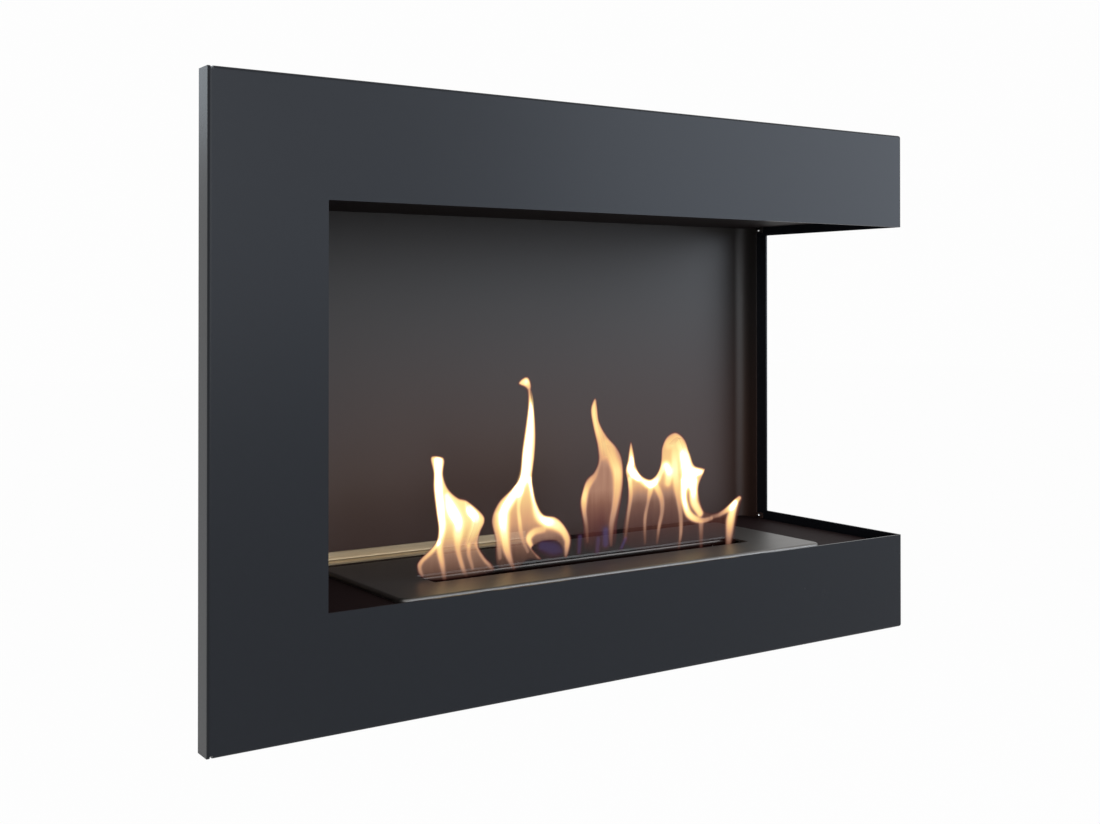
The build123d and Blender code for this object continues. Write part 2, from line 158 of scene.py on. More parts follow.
# ---------------------------------------------------------------- finishes as node groups
def new_group(name, inputs, outputs):
    """An empty shader group with float, colour and vector sockets, its start's sockets and its end's."""
    tree = bpy.data.node_groups.new(name, "ShaderNodeTree")
    for in_out, sockets in (("INPUT", inputs), ("OUTPUT", outputs)):
        for label, kind, value in sockets:
            socket = tree.interface.new_socket(label, in_out=in_out, socket_type=f"NodeSocket{kind}")
            if value is not None:
                socket.default_value = value
    group = NodeTree(tree)
    return group, group.add("NodeGroupInput").outputs, group.add("NodeGroupOutput").inputs


surface_outputs = [("Colour", "Color", None), ("Rough", "Float", None), ("Height", "Float", None)]


def vary_tone_and_gloss(group, start, end, noise, amount, gloss_share):
    """Tone and gloss from a noise.

    The noise about its middle, times the amount, scales the colour up or down from 1, and its gloss
    share adds to the roughness.
    """
    swing = group.maths("MULTIPLY", group.maths("SUBTRACT", noise.outputs["Fac"], 0.5), amount)
    tinted = group.add("ShaderNodeVectorMath", operation="SCALE")
    group.join(start["Colour"], tinted.inputs[0])
    group.join(group.maths("ADD", swing, 1.0), tinted.inputs["Scale"])
    group.join(tinted.outputs[0], end["Colour"])
    group.join(group.maths("MULTIPLY_ADD", swing, gloss_share, start["Rough"]), end["Rough"])


def make_paint_group():
    """Powder coat: fine orange-peel height, a faint uneven sheen and a slow drift of its tone."""
    group, start, end = new_group(
        "powder_coat",
        [
            ("Vector", "Vector", None),
            ("Colour", "Color", (0.04, 0.045, 0.05, 1)),
            ("Rough", "Float", 0.45),
            ("Grain", "Float", 1400.0),
            ("Drift", "Float", 0.1),
        ],
        surface_outputs,
    )
    peel = group.noise(start["Vector"], start["Grain"], detail=2.0)
    group.join(peel.outputs["Fac"], end["Height"])
    slow = group.noise(start["Vector"], scale=7.0, detail=3.0)
    vary_tone_and_gloss(group, start, end, slow, start["Drift"], gloss_share=0.3)
    return group.tree


def make_brush_group():
    """Brushed or rolled metal: long fine scratches along one axis, which vary tone, gloss and height."""
    group, start, end = new_group(
        "rolled_metal",
        [
            ("Vector", "Vector", None),
            ("Stretch", "Vector", (6.0, 600.0, 600.0)),
            ("Colour", "Color", (0.6, 0.6, 0.6, 1)),
            ("Rough", "Float", 0.3),
            ("Depth", "Float", 0.2),
        ],
        surface_outputs,
    )
    stretched = group.add("ShaderNodeVectorMath", operation="MULTIPLY")
    group.join(start["Vector"], stretched.inputs[0])
    group.join(start["Stretch"], stretched.inputs[1])
    lines = group.noise(stretched.outputs[0], scale=1.0, detail=4.0)
    group.join(lines.outputs["Fac"], end["Height"])
    vary_tone_and_gloss(group, start, end, lines, start["Depth"], gloss_share=1.0)
    return group.tree


def make_painted_fire_tint_group():
    """Painted light and shade low down on what faces the fire: all of the tint below the low height, none
    above the high one.
    """
    group, start, end = new_group(
        "painted_fire_tint",
        [
            ("Vector", "Vector", None),
            ("Colour", "Color", (0.1, 0.1, 0.1, 1)),
            ("Brown", "Color", (0.01, 0.004, 0.003, 1)),
            ("Low", "Float", 0.1),
            ("High", "Float", 0.3),
        ],
        [("Colour", "Color", None)],
    )
    place = group.add("ShaderNodeSeparateXYZ")
    group.join(start["Vector"], place.inputs[0])
    tint_share = group.add("ShaderNodeMapRange", interpolation_type="SMOOTHSTEP")
    group.join(place.outputs["Z"], tint_share.inputs["Value"])
    group.join(start["High"], tint_share.inputs["From Min"])
    group.join(start["Low"], tint_share.inputs["From Max"])
    before = group.maths("LESS_THAN", place.outputs["Y"], firebox_back)
    beside = group.maths("GREATER_THAN", place.outputs["X"], firebox_left)
    share = group.maths("MULTIPLY", group.maths("MULTIPLY", tint_share.outputs["Result"], before), beside)
    tone = group.add("ShaderNodeMix", data_type="RGBA")
    group.join(share, tone.inputs["Factor"])
    group.join(start["Colour"], tone.inputs["A"])
    group.join(start["Brown"], tone.inputs["B"])
    group.join(tone.outputs["Result"], end["Colour"])
    return group.tree


powder_coat = make_paint_group()
rolled_metal = make_brush_group()
painted_fire_tint = make_painted_fire_tint_group()


# ---------------------------------------------------------------- materials
def finish_surface(shader, finish, bump, brown, heights):
    """Joins a finish to the surface, with a painted tint of light and shade low down where a brown and its
    two heights are given.
    """
    colour = finish.outputs["Colour"]
    if brown and heights:
        low, high = heights
        tint_node = shader.group(painted_fire_tint, Brown=(*brown, 1), Low=low, High=high)
        shader.join(colour, tint_node.inputs["Colour"])
        colour = tint_node.outputs["Colour"]
    shader.join(colour, shader.surface.inputs["Base Color"])
    shader.join(finish.outputs["Rough"], shader.surface.inputs["Roughness"])
    shader.emboss(finish.outputs["Height"], bump)


def painted(name, colour, rough, level=0.5, grain=1400.0, drift=0.1, bump=0.00002, painted_glow=None):
    """Powder-coated or stove-enamelled steel, or matt rubber.

    Level is the strength of its gloss, and its last colour is the flames' warm light, painted in low down.
    """
    shader = Shader(name)
    finish = shader.group(powder_coat, Colour=(*colour, 1), Rough=rough, Grain=grain, Drift=drift)
    finish_surface(shader, finish, bump, painted_glow, painted_glow_heights)
    shader.surface.inputs["Specular IOR Level"].default_value = level
    return shader.material


def bare_metal(name, colour, rough, stretch, depth=0.25, bump=0.00001, painted_shade=None):
    """Bare steel with rolling or brushing lines along the axis of the smallest stretch.

    Its last value is a pair of heights between which the steel turns from a painted dark brown shade to
    its own colour.
    """
    shader = Shader(name)
    finish = shader.group(
        rolled_metal, Stretch=stretch, Colour=(*colour, 1), Rough=rough, Depth=depth
    )
    finish_surface(shader, finish, bump, slot_shade_colour, painted_shade)
    shader.surface.inputs["Metallic"].default_value = 1.0
    return shader.material


def mineral_fibre(name):
    """Pale mineral wool: a tangle of short fibres with soft lumps."""
    shader = Shader(name)
    fibres = shader.noise(shader.coordinates(), scale=900.0, detail=6.0)
    fibres.inputs["Distortion"].default_value = 1.5
    tone = shader.add("ShaderNodeValToRGB")
    tone.color_ramp.elements[0].color = (0.42, 0.40, 0.36, 1)
    tone.color_ramp.elements[1].color = (0.86, 0.84, 0.79, 1)
    shader.join(fibres.outputs["Fac"], tone.inputs["Fac"])
    shader.join(tone.outputs["Color"], shader.surface.inputs["Base Color"])
    shader.emboss(fibres.outputs["Fac"], 0.4 * millimetre)
    shader.surface.inputs["Roughness"].default_value = 0.95
    return shader.material


def cover(node, material):
    """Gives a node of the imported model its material."""
    nodes[node].data.materials.clear()
    nodes[node].data.materials.append(material)


# Rolling lines: about how many waves each metre has along X, Y and Z, with few of them along the lines.
along_x, along_z = (6.0, 900.0, 900.0), (900.0, 900.0, 6.0)

# Heights between which the firebox's paint and the damper's steel turn from brown to their own colour: the
# brown is painted light and shade, the flames' warm glow on the paint and the slot's shade on the steel.
painted_glow_heights = (0.10, 0.29)
slot_shade_heights = (damper_top - 4.0 * millimetre, damper_top - 0.6 * millimetre)
slot_shade_colour = (0.010, 0.004, 0.003)

frame_paint = painted("frame_paint", (0.0098, 0.0113, 0.0145), 0.27, level=0.165, drift=0.06)
# The liner's warm colour low down is the flames' glow painted into the paint.
liner_paint = painted(
    "liner_paint", (0.023, 0.020, 0.019), 0.42, level=0.26, drift=0.12, painted_glow=(0.046, 0.025, 0.020)
)
ceiling_paint = painted("ceiling_paint", (0.016, 0.012, 0.012), 0.6, level=0.08)
hearth_paint = painted("hearth_paint", (0.018, 0.010, 0.010), 0.65, level=0.05)
plate_steel = bare_metal("plate_steel", (0.165, 0.158, 0.150), 0.43, along_x, depth=0.10)
# The damper's dark brown low down is painted shade of the slot.
damper_steel = bare_metal(
    "damper_steel", (0.12, 0.11, 0.10), 0.42, along_x, depth=0.10, painted_shade=slot_shade_heights
)
# The stop's warm beige is the flames' reflected light painted into the steel's colour.
stop_steel = bare_metal("stop_steel", (0.44, 0.36, 0.245), 0.42, along_x)
tank_steel = bare_metal("tank_steel", (0.42, 0.40, 0.37), 0.38, along_z)
screen_steel = bare_metal("screen_steel", (0.34, 0.32, 0.30), 0.45, along_x)
cover_steel = bare_metal("cover_steel", (0.56, 0.57, 0.58), 0.38, along_x)
rail_steel = bare_metal("rail_steel", (0.60, 0.61, 0.62), 0.32, along_x)
fastener_steel = bare_metal("fastener_steel", (0.66, 0.66, 0.66), 0.22, along_z)
buffer_rubber = painted(
    "buffer_rubber", (0.018, 0.018, 0.018), 0.8, level=0.3, grain=2600.0, bump=0.00005
)
fibre = mineral_fibre("ceramic_fibre")

for node, material in {
    "front_frame": frame_paint,
    "back_panel": liner_paint,
    "left_panel": liner_paint,
    "ceiling_panel": ceiling_paint,
    "hearth_tray": hearth_paint,
    "top_cover": cover_steel,
    "bottom_cover": cover_steel,
    "burner_stop": stop_steel,
    "burner_plate": plate_steel,
    "burner_tank": tank_steel,
    "ceramic_wool": fibre,
    "wool_screen": screen_steel,
    "damper": damper_steel,
    "damper_guides": damper_steel,
    "wall_rail": rail_steel,
    "hanger_rail": rail_steel,
    "wall_buffers": buffer_rubber,
    "weld_studs": fastener_steel,
    "ear_studs": fastener_steel,
    "dome_nuts": fastener_steel,
    "hanger_bolts": fastener_steel,
    "hex_nuts": fastener_steel,
}.items():
    cover(node, material)


# ---------------------------------------------------------------- mesh helpers
weld_distance = 0.02 * millimetre  # between points that are merged


def grid_faces(rows, columns, first=0):
    """Quads between neighbouring rows and columns of a grid whose first vertex has the given number."""
    number = first + np.arange(rows * columns).reshape(rows, columns)
    return np.stack(
        [number[:-1, :-1], number[:-1, 1:], number[1:, 1:], number[1:, :-1]], axis=-1
    ).reshape(-1, 4)


def new_piece(name, places, faces):
    """A smooth mesh from points and quads, as an object at the origin."""
    mesh = bpy.data.meshes.new(name)
    mesh.from_pydata(places.tolist(), [], faces.tolist())
    mesh.shade_smooth()
    piece = bpy.data.objects.new(name, mesh)
    collection.objects.link(piece)
    return piece


def close_and_turn_out(mesh):
    """Merges the doubled points of seams and poles, fills what is open and points the faces outwards."""
    shell = bmesh.new()
    shell.from_mesh(mesh)
    bmesh.ops.remove_doubles(shell, verts=shell.verts, dist=weld_distance)
    bmesh.ops.holes_fill(shell, edges=shell.edges)
    bmesh.ops.recalc_face_normals(shell, faces=shell.faces)
    shell.to_mesh(mesh)
    shell.free()
    mesh.shade_smooth()


# ---------------------------------------------------------------- domes of the small nuts
dome_height = 2.4 * millimetre


def make_domes(rows=9, columns=28):
    """The four dome nuts as turned caps.

    Along each cap the height goes as the sine of a quarter turn and the radius as the square root of its
    cosine, so the sides stand nearly straight and the top is round. The caps sit where the nuts are.
    """
    low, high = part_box("dome_nuts")
    radius = (high.y - low.y) / 2
    rise = np.linspace(0, np.pi / 2, rows)[:, None]
    turn = np.linspace(0, 2 * np.pi, columns)[None, :]
    lift = dome_height * np.sin(rise)
    spread = radius * np.cos(rise).clip(0) ** 0.5
    places, faces = [], []
    for base, way in ((low.x, 1), (high.x, -1)):
        for centre in (low.z + radius, high.z - radius):
            grid = np.broadcast_arrays(
                base + way * lift,
                (low.y + high.y) / 2 + spread * np.cos(turn),
                centre + way * spread * np.sin(turn),
            )
            faces.append(grid_faces(rows, columns, len(places) * rows * columns))
            places.append(np.stack(grid, axis=-1).reshape(-1, 3))
    piece = new_piece("nut_domes", np.vstack(places), np.vstack(faces))
    close_and_turn_out(piece.data)
    return piece


domes = make_domes()
domes.data.materials.append(fastener_steel)
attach(domes, "casing")
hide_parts("dome_nuts")


# ---------------------------------------------------------------- flames
# Everything here lies in the upright plane through the middle of the slot, in mm along X and Z.
# An outline is a closed curve. A veil is the thin fire inside it, as rows of height, heat and cover.
# A streak is a brighter line, as rows of x, z, half width and heat, and a cool line is a bluish one.
# Deep lists, by number from 0, the streaks that also get a sheet square to the slot. Lean is how far
# the flame's own sheet goes back towards the wall for each mm to the right.
flames = {
    "flame_first": {
        "deep": [0, 1],
        "lean": 0.10,
        "outline": [
            (-103, 155), (-101, 144), (-101, 133), (-99, 118), (-97, 103), (-100, 94), (-112, 84),
            (-114, 79), (-110, 72), (-92, 68), (-52, 70), (-59, 81), (-64, 89), (-63, 98), (-59, 106),
            (-61, 112), (-73, 122), (-81, 125), (-89, 132), (-93, 142), (-92, 152), (-95, 155),
        ],
        "veil": [
            (66, 0.36, 0), (76, 0.44, 0.35), (90, 0.56, 0.6), (98, 0.72, 0.85), (108, 0.82, 1),
            (156, 0.84, 1),
        ],
        "streaks": [
            [
                (-97, 153, 4, 1), (-97, 136, 4, 1), (-95, 114, 4, 1), (-94, 105, 3.5, 1),
                (-96, 92, 3, 0.8), (-94, 80, 2.5, 0.6), (-92, 69, 2, 0.3),
            ],
            [
                (-74, 121, 2, 0.6), (-71, 115, 4, 1), (-67, 110, 4, 1), (-67, 104, 4, 0.7),
                (-73, 91, 3, 0.5),
            ],
            [
                (-90, 127, 3, 0.8), (-86, 117, 6, 0.9), (-81, 108, 5.5, 0.9), (-81, 99, 4.5, 0.8),
                (-81, 88, 2.5, 0.6), (-77, 75, 2, 0.5), (-74, 69, 1.5, 0.2),
            ],
            [
                (-97, 95, 2.5, 0.9), (-103, 89, 2.5, 0.7), (-110, 84, 2.5, 0.6), (-112, 79, 2, 0.5),
                (-110, 73, 1.5, 0.4),
            ],
            [(-66, 91, 2, 0.5), (-61, 82, 2, 0.5), (-56, 76, 2, 0.5), (-52, 71, 1.5, 0.3)],
            [(-72, 91, 2, 0.6), (-72, 84, 2, 0.5), (-69, 74, 1.5, 0.4)],
        ],
        "cool": [],
    },
    "flame_second": {
        "deep": [1, 2],
        "lean": -0.14,
        "outline": [
            (-29, 137), (-36, 128), (-47, 119), (-53, 107), (-50, 92), (-48, 73), (-33, 69), (-22, 75),
            (-10, 74), (-16, 80), (-18, 84), (-8, 87), (3, 86), (8, 81), (10, 74), (14, 74), (17, 86),
            (11, 97), (3, 104), (-8, 107), (-14, 116), (-17, 127), (-18, 136), (-16, 150), (-15, 165),
            (-16, 182), (-19, 196), (-19, 203), (-21, 208), (-24, 209), (-28, 207), (-30, 204),
            (-24, 201), (-22, 197), (-22, 187), (-24, 173), (-27, 155),
        ],
        "veil": [
            (66, 0.3, 0), (80, 0.40, 0.30), (92, 0.50, 0.6), (102, 0.60, 0.8), (112, 0.66, 0.9),
            (125, 0.76, 1), (140, 0.84, 1), (190, 0.75, 1), (200, 0.5, 0.8), (210, 0.7, 1),
        ],
        "streaks": [
            [(-27, 205, 3, 0.8), (-23, 205, 4, 0.9), (-21, 202, 2.5, 0.7)],
            [
                (-20, 199, 1.5, 0.6), (-19, 193, 2, 0.8), (-19, 184, 3, 1), (-20, 168, 4.5, 1),
                (-23, 148, 5.5, 1), (-25, 137, 6, 1), (-30, 127, 5, 1),
            ],
            [
                (-31, 127, 5, 1), (-37, 120, 5, 1), (-42, 113, 5.5, 1), (-43, 105, 5.5, 1),
                (-42, 95, 4.5, 0.9), (-40, 84, 3.5, 0.7), (-37, 76, 2.5, 0.5), (-34, 70, 1.5, 0.3),
            ],
            [(-47, 110, 4, 0.7), (-48, 101, 3.5, 0.6), (-47, 91, 2.5, 0.5), (-46, 79, 2, 0.4)],
            [
                (-28, 126, 3, 0.9), (-30, 115, 2, 0.7), (-29, 104, 2, 0.7), (-27, 92, 2, 0.5),
                (-22, 81, 1.5, 0.4),
            ],
            [
                (-19, 133, 3.5, 1), (-16, 118, 3.5, 0.9), (-12, 107, 5, 0.9), (-5, 102, 5.5, 1),
                (2, 99, 5, 0.9), (9, 94, 4, 0.8), (13, 87, 3, 0.7), (13, 81, 2.5, 0.6), (12, 74, 1.5, 0.4),
            ],
            [
                (-8, 96, 3, 0.6), (-16, 95, 3, 0.7), (-21, 91, 3, 0.8), (-19, 85, 2, 0.7),
                (-11, 74, 1.5, 0.4),
            ],
        ],
        "cool": [[(-9, 84, 4, 0.6), (1, 81, 5, 0.6), (7, 79, 3, 0.5)]],
    },
    "flame_third": {
        "deep": [0, 1],
        "lean": 0.16,
        "outline": [
            (39, 191), (35, 183), (37, 170), (41, 155), (42, 143), (38, 135), (31, 130), (27, 121),
            (25, 111), (28, 96), (31, 76), (56, 75), (60, 95), (64, 113), (66, 128), (65, 142),
            (60, 152), (50, 162), (43, 173), (41, 185),
        ],
        "veil": [
            (74, 0.1, 0), (84, 0.16, 0.25), (97, 0.24, 0.5), (106, 0.32, 0.65), (112, 0.39, 0.75),
            (121, 0.46, 0.85), (137, 0.46, 0.88), (148, 0.54, 0.95), (160, 0.62, 1), (178, 0.7, 1),
            (192, 0.6, 0.8),
        ],
        "streaks": [
            [
                (39, 190, 1.5, 0.6), (38, 183, 3, 0.7), (39, 175, 3.5, 0.7), (42, 166, 4, 0.7),
                (45, 157, 4.5, 0.6), (47, 147, 4.5, 0.5),
            ],
            [
                (50, 155, 6, 0.6), (56, 144, 6, 0.7), (60, 134, 5.5, 0.8), (60, 122, 4.5, 0.7),
                (58, 109, 3.5, 0.6), (55, 97, 3, 0.5), (54, 88, 2.5, 0.4), (54, 78, 1.5, 0.3),
            ],
            [
                (44, 144, 2, 0.4), (39, 133, 3, 0.5), (32, 125, 3.5, 0.7), (29, 117, 3.5, 0.8),
                (29, 106, 2.5, 0.6), (31, 95, 2, 0.4), (32, 83, 1.5, 0.3),
            ],
        ],
        "cool": [
            [(25, 87, 2, 0.6), (24, 76, 1.5, 0.5)],
            [(49, 90, 3, 0.8), (49, 80, 3, 0.7)],
            [(42, 84, 2, 0.6), (41, 75, 2, 0.5)],
            [(68, 82, 1.5, 0.7), (64, 75, 1.5, 0.6)],
        ],
    },
    "flame_fourth": {
        "deep": [5, 11],
        "lean": -0.06,
        "outline": [
            (73, 156), (70, 142), (68, 134), (70, 124), (70, 111), (66, 81), (84, 71), (98, 70), (120, 67),
            (150, 66), (178, 64), (181, 81), (186, 98), (188, 104), (184, 106), (177, 102), (167, 96),
            (156, 94), (147, 97), (142, 109), (142, 118), (148, 129), (146, 131), (137, 134), (132, 144),
            (127, 155), (118, 161), (109, 158), (104, 150), (103, 140), (101, 133), (97, 128), (91, 126),
            (83, 130), (78, 138), (76, 148),
        ],
        "veil": [
            (66, 0.15, 0), (84, 0.24, 0.2), (98, 0.32, 0.35), (108, 0.40, 0.5), (115, 0.52, 0.7),
            (122, 0.65, 0.9), (132, 0.74, 1), (150, 0.68, 1), (162, 0.56, 1),
        ],
        "streaks": [
            [
                (73, 155, 1.5, 0.5), (73, 147, 2.5, 0.8), (74, 141, 3.5, 1), (73, 135, 4.5, 1),
                (80, 128, 3.5, 0.9),
            ],
            [
                (76, 131, 4, 1), (84, 126, 3.5, 0.9), (92, 122, 4, 1), (99, 125, 3.5, 0.9),
                (103, 131, 3.5, 0.8), (108, 135, 5, 0.9), (111, 129, 5, 0.9), (110, 122, 4, 0.7),
            ],
            [(72, 127, 3, 0.8), (73, 115, 2.5, 0.6), (71, 102, 2, 0.5), (68, 83, 1.5, 0.3)],
            [(93, 120, 3.5, 0.8), (90, 108, 2, 0.5), (87, 95, 2, 0.5), (87, 77, 1.5, 0.3)],
            [
                (97, 122, 3.5, 0.8), (103, 111, 3, 0.6), (104, 100, 2.5, 0.5), (101, 88, 2, 0.5),
                (99, 76, 1.5, 0.3),
            ],
            [
                (111, 152, 5.5, 0.6), (119, 157, 5, 0.6), (124, 149, 5.5, 0.8), (127, 141, 7, 1),
                (131, 122, 8, 1),
            ],
            [
                (117, 150, 5, 0.6), (117, 134, 4.5, 0.8), (119, 118, 4, 0.7), (121, 107, 3, 0.6),
                (123, 94, 2.5, 0.5), (123, 81, 2, 0.5), (121, 70, 1.5, 0.3),
            ],
            [(132, 128, 6, 1), (139, 128, 4.5, 1), (145, 128, 2.5, 0.9), (148, 129, 1, 0.6)],
            [
                (127, 122, 5, 1), (126, 113, 4, 1), (127, 105, 3.5, 1), (131, 96, 3.5, 0.9),
                (138, 91, 3, 0.8), (146, 89, 2.5, 0.6), (155, 90, 2, 0.5),
            ],
            [(136, 121, 5.5, 1), (136, 113, 5, 1), (137, 104, 4.5, 0.9), (143, 95, 3.5, 0.8)],
            [
                (155, 91, 2, 0.4), (163, 92, 2, 0.5), (170, 95, 3, 0.7), (177, 98, 3.5, 1),
                (185, 104, 2, 0.7),
            ],
            [
                (180, 100, 3.5, 1), (177, 93, 4, 0.9), (175, 86, 4.5, 0.8), (174, 77, 4, 0.6),
                (173, 67, 3, 0.4),
            ],
            [(144, 87, 3, 0.5), (144, 78, 2.5, 0.4), (144, 68, 2, 0.3)],
        ],
        "cool": [],
    },
}

fire_fields = ("fire_heat", "fire_cover", "fire_cool")
tiny = 1e-9  # keeps the end of a curve in its last stretch, and a division by nothing away

# Sizes in mm in the slot's plane.
flame_step = 0.7  # between the points of a flame's grid
flame_edge = 0.8  # over which a flame fades at its outline
rim_depth = 2.0  # inside the outline, over which a flame warms up
outline_margin = 5  # of the grid round a flame's outline
cool_margin = 6  # of the grid round its cool places
feet_height = 6  # of the lowest fire over the screen
narrowest_streak = 0.3  # least half width
crossing_spare = 1.0  # that a crossing sheet reaches further to each side

outline_steps, streak_steps, crossing_steps = 12, 14, 12  # places on a curve for each of its points
least_fire = 0.02  # a quad with less cover is left out
batches = 24  # the grid is worked out in so many parts, to need less memory
rim_heat = 0.55  # share of its heat that a flame keeps at its rim
streak_falloff = 0.8  # of a streak's heat with the distance from its path
bare_heat, hiding_heat = 0.10, 0.75  # a streak hides nothing up to the first and all from the second on
crossing_reach = 1.1  # half widths of its streak that a crossing sheet reaches to each side
crossing_cover = 0.6
crossing_end, crossing_fade = 0.02, 0.3  # share of the sine left out at each end, and its power


def smooth_path(points, steps, closed=False):
    """A curve through the points.

    On each stretch it is the cubic whose direction at each end follows the chord between the two
    neighbours of that end.
    """
    p = np.array(points, dtype=float)
    if closed:
        padded, spans = np.vstack([p[-1:], p, p[:2]]), len(p)
    else:
        padded, spans = np.vstack([2 * p[0] - p[1], p, 2 * p[-1] - p[-2]]), len(p) - 1
    place = np.linspace(0, spans - tiny, steps)
    k = place.astype(int)
    t = (place - k)[:, None]
    a, b, c, d = [padded[k + shift] for shift in range(4)]
    return 0.5 * (
        2 * b + (c - a) * t + (2 * a - 5 * b + 4 * c - d) * t**2 + (3 * b - a - 3 * c + d) * t**3
    )


def smooth_step(low, high, value):
    """Goes from 0 to 1 between the two values, level at both ends."""
    t = np.clip((value - low) / (high - low), 0, 1)
    return t * t * (3 - 2 * t)


def depth_inside(x, z, outline):
    """Distance to a closed outline, above 0 inside it.

    A place is inside where the ray straight up from it crosses the outline an odd number of times.
    """
    curve = smooth_path(outline, outline_steps * len(outline), closed=True)
    ax, az = curve.T
    bx, bz = np.roll(ax, -1), np.roll(az, -1)
    px, pz = x[:, None], z[:, None]
    run, rise = bx - ax, bz - az
    share = ((px - ax) * run + (pz - az) * rise) / np.maximum(run**2 + rise**2, tiny)
    share = share.clip(0, 1)
    gap = np.hypot(px - ax - share * run, pz - az - share * rise).min(axis=1)
    spans = (ax > px) != (bx > px)
    height = az + (px - ax) * rise / np.where(run == 0, tiny, run)
    crossings = (spans & (height > pz)).sum(axis=1)
    return np.where(crossings % 2 == 1, gap, -gap)


def streak_heat(x, z, streak):
    """Heat of one streak.

    It is the streak's own heat at the nearest place of its path, divided by the sum of 1 and the
    falloff times the fourth power of the distance over the half width.
    """
    curve = smooth_path(streak, streak_steps * len(streak))
    cx, cz, half, heat = curve.T
    width = np.maximum(half, narrowest_streak)
    squares = ((x[:, None] - cx) ** 2 + (z[:, None] - cz) ** 2) / width**2
    nearest = squares.argmin(axis=1)
    least = squares[np.arange(len(x)), nearest]
    return heat[nearest].clip(0, 1) / (1 + streak_falloff * least**2)


def flame_fields(x, z, flame):
    """Heat, cover and coolness of a flame at places in its plane.

    Streaks and the veil join by the fourth root of the sum of their fourth powers, and cool to about
    half at the rim. Cover is what the veil and the streaks hide together, cut off softly at the outline.
    """
    depth = depth_inside(x, z, flame["outline"])
    inside = smooth_step(-flame_edge, flame_edge, depth)
    rim = rim_heat + (1 - rim_heat) * smooth_step(-flame_edge, rim_depth, depth)
    heights, heats, covers = np.array(flame["veil"]).T
    veil_heat = np.interp(z, heights, heats) * inside
    veil_cover = np.interp(z, heights, covers)
    bright = sum(streak_heat(x, z, streak) ** 4 for streak in flame["streaks"]) ** 0.25
    heat = rim * (veil_heat**4 + (bright * inside) ** 4) ** 0.25
    streak_cover = smooth_step(bare_heat, hiding_heat, bright)
    cover = (1 - (1 - veil_cover) * (1 - streak_cover)) * inside
    cool = sum((streak_heat(x, z, streak) for streak in flame["cool"]), 0 * x)
    return heat, cover, cool


def flame_sheet(flame):
    """The flame's front sheet: a grid over its outline, without the quads where nothing burns.

    The sheet turns about its own middle, so its depth grows evenly from one end to the other. Each
    point slides along its line of sight from the camera's place, which keeps the measured outline.
    """
    span = np.array(flame["outline"])
    low, high = span.min(axis=0) - outline_margin, span.max(axis=0) + outline_margin
    for streak in flame["cool"]:
        line = np.array(streak)[:, :2]
        low = np.minimum(low, line.min(axis=0) - cool_margin)
        high = np.maximum(high, line.max(axis=0) + cool_margin)
    lowest = max(low[1], screen_top / millimetre + feet_height)
    xs = np.arange(low[0], high[0], flame_step)
    zs = np.arange(lowest, high[1], flame_step)
    x, z = [a.ravel() for a in np.meshgrid(xs, zs)]
    parts = zip(np.array_split(x, batches), np.array_split(z, batches))
    fields = zip(*[flame_fields(*part, flame) for part in parts])
    heat, cover, cool = [np.concatenate(field) for field in fields]
    faces = grid_faces(len(zs), len(xs))
    faces = faces[(cover + cool)[faces].max(axis=1) > least_fire]
    used, faces = np.unique(faces, return_inverse=True)
    flat = np.stack([x, 0 * x, z], axis=-1)[used] * millimetre + (0, slot_plane, 0)
    offset = flame["lean"] * (flat[:, 0] - flat[:, 0].mean())
    reach = (slot_plane + offset - eye.y) / (slot_plane - eye.y)
    places = np.array(eye) + (flat - np.array(eye)) * reach[:, None]
    return places, faces.reshape(-1, 4), (heat[used], cover[used], cool[used])


def crossing_sheet(streak, columns=15):
    """An upright sheet square to the slot along one streak, so that the flame has depth from the side.

    Heat and cover fall by the fourth power of the way out, and cover also by a low power of a sine
    towards both ends of the streak. Nothing on it is bluish.
    """
    curve = smooth_path(streak, crossing_steps * len(streak))
    rows = len(curve)
    x, z, half, heat = curve.T[:, :, None]
    heat = heat.clip(0, 1)
    across = np.linspace(-1, 1, columns)[None, :]
    depth = slot_plane / millimetre + (crossing_reach * half + crossing_spare) * across
    places = np.stack(np.broadcast_arrays(x, depth, z), axis=-1) * millimetre
    fade = 1 - across**4
    end = np.sin(np.pi * np.linspace(crossing_end, 1 - crossing_end, rows))[:, None] ** crossing_fade
    fields = (
        heat * (rim_heat + (1 - rim_heat) * fade),
        crossing_cover * fade * end * heat,
        np.zeros((rows, columns)),
    )
    return places.reshape(-1, 3), grid_faces(rows, columns), [field.ravel() for field in fields]


def make_flame(name, flame):
    """One flame as a mesh, with heat, cover and coolness kept at its points."""
    sheets = [flame_sheet(flame)] + [crossing_sheet(flame["streaks"][k]) for k in flame["deep"]]
    starts = np.cumsum([0] + [len(sheet[0]) for sheet in sheets])
    places = np.vstack([sheet[0] for sheet in sheets])
    faces = np.vstack([sheet[1] + start for sheet, start in zip(sheets, starts)])
    piece = new_piece(name, places, faces)
    for k, label in enumerate(fire_fields):
        values = np.concatenate([sheet[2][k] for sheet in sheets])
        layer = piece.data.attributes.new(label, "FLOAT", "POINT")
        layer.data.foreach_set("value", values.astype(np.float32))
    return piece


flicker_stretch = (240.0, 30.0, 22.0)  # waves in each metre, narrow along the slot and long upwards
flicker = 0.22  # how far the flicker changes the warmth where the fire is thin
fire_strength = 4.0
cool_cover = 0.9
fire_colours = (  # by warmth, from 0 to 1, which are the places of a new ramp's two elements
    (0.00, (0.028, 0.004, 0.005, 1)),
    (0.20, (0.045, 0.013, 0.011, 1)),
    (0.38, (0.080, 0.036, 0.024, 1)),
    (0.50, (0.130, 0.070, 0.047, 1)),
    (0.62, (0.207, 0.108, 0.056, 1)),
    (0.74, (0.250, 0.162, 0.068, 1)),
    (0.84, (0.270, 0.225, 0.095, 1)),
    (0.92, (0.340, 0.265, 0.140, 1)),
    (1.00, (0.62, 0.50, 0.33, 1)),
)
feet_blue = (0.014, 0.018, 0.048, 1)


